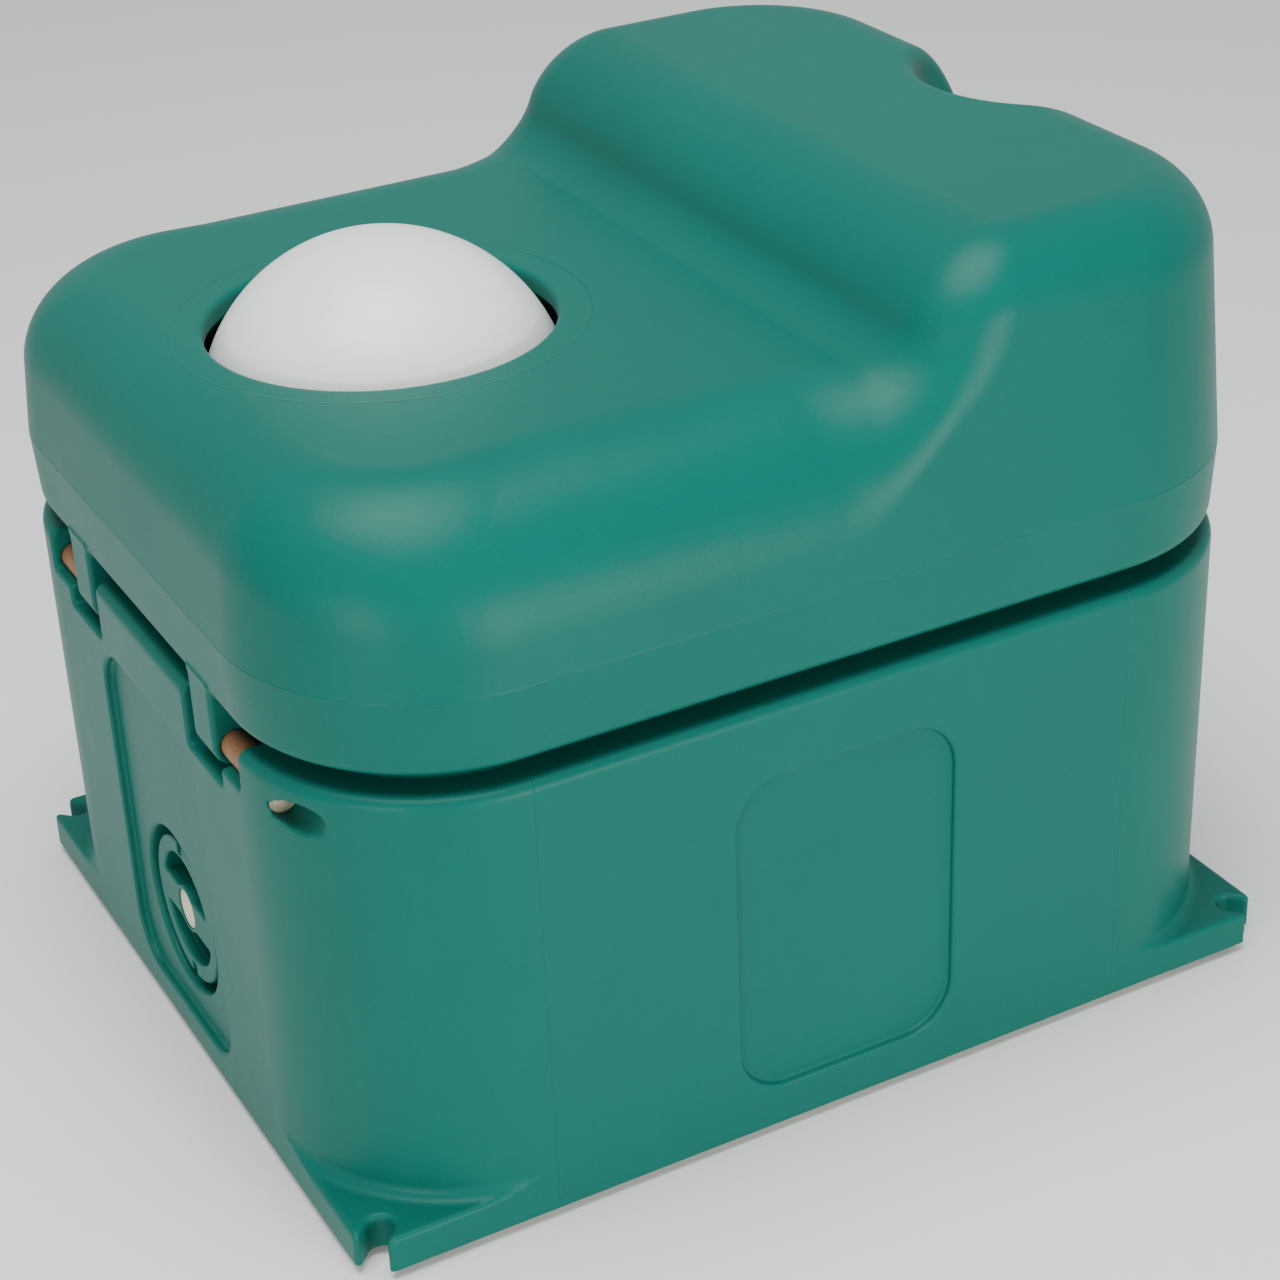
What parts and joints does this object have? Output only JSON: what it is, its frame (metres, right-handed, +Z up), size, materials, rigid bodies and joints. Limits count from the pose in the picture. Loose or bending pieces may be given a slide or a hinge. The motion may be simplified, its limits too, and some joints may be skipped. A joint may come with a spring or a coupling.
{
  "type": "livestock water trough",
  "caption": "Insulated moulded water trough with a hinged lid, a floating ball closing the drinking opening, a hood over a float valve and a front drain plug.",
  "frame": {"origin": "middle of the underside, on the surface the trough stands on", "axes": "+X across the trough, +Y from the drinking end to the hood end, +Z up"},
  "size_m": [0.62, 0.72, 0.588],
  "materials": {
    "green_moulding": "satin rotomoulded polyethylene",
    "insulation": "rigid foam",
    "white_ball": "smooth moulded",
    "pin_rod": "sawn rod",
    "black_rubber": "moulded rubber",
    "brass_fitting": "turned",
    "valve_plastic": "moulded",
    "dark_plastic": "moulded",
    "float_orange": "moulded",
    "stainless": "stainless steel"
  },
  "bodies": {
    "base": {"base_shell": "green_moulding", "base_floor": "green_moulding", "base_feet": "green_moulding", "tub_skin": "green_moulding", "shaft_skin": "green_moulding", "base_foam": "insulation", "rim_seal": "black_rubber", "drain_collar": "green_moulding", "inlet_pipe": "brass_fitting", "inlet_sleeve": "dark_plastic", "inlet_gasket": "black_rubber", "inlet_nut": "brass_fitting", "valve_body": "valve_plastic", "valve_cap": "dark_plastic", "valve_pivot_pin": "stainless", "valve_guard": "stainless", "guard_screws": "stainless"},
    "lid": {"lid_shell": "green_moulding", "lid_foam": "insulation"},
    "ball": {"ball_shell": "white_ball", "ball_plug": "white_ball"},
    "pin_left": {"hinge_pin_left": "pin_rod"},
    "pin_right": {"hinge_pin_right": "pin_rod"},
    "drain_gasket": {"drain_seal": "black_rubber"},
    "drain_plug": {"drain_plug_shell": "green_moulding", "drain_plug_foam": "insulation"},
    "arm": {"float_arm": "brass_fitting", "float": "float_orange", "float_nut": "brass_fitting"},
    "plunger": {"valve_plunger": "valve_plastic", "plunger_washer": "black_rubber"}
  },
  "joints": [
    {"name": "lid_hinge", "type": "hinge", "parent": "base", "child": "lid", "pos_m": [0, -0.3435, 0.308], "axis": [1, 0, 0], "range_deg": [0, 80]},
    {"name": "ball_float", "type": "slide", "parent": "base", "child": "ball", "axis": [0, 0, -1], "range_m": [0, 0.07], "stiffness_N_per_m": 450, "springref_m": -0.035},
    {"name": "pin_left_pull", "type": "slide", "parent": "base", "child": "pin_left", "axis": [-1, 0, 0], "range_m": [0, 0.13]},
    {"name": "pin_right_pull", "type": "slide", "parent": "base", "child": "pin_right", "axis": [1, 0, 0], "range_m": [0, 0.13]},
    {"name": "drain_pull", "type": "slide", "parent": "base", "child": "drain_gasket", "axis": [0, -1, 0], "range_m": [0, 0.07]},
    {"name": "drain_turn", "type": "hinge", "parent": "drain_gasket", "child": "drain_plug", "pos_m": [0, -0.343, 0.108], "axis": [0, 1, 0], "range_deg": [-90, 90]},
    {"name": "arm_drop", "type": "hinge", "parent": "base", "child": "arm", "pos_m": [-0.096, 0.17, 0.458], "axis": [0, 1, 0], "range_deg": [0, 18]},
    {"name": "plunger_lift", "type": "slide", "parent": "base", "child": "plunger", "axis": [0, 0, 1], "range_m": [0, 0.0076]}
  ],
  "couplings": [
    {"joint": "plunger_lift", "follows": "arm_drop", "m_per_rad": 0.024}
  ]
}
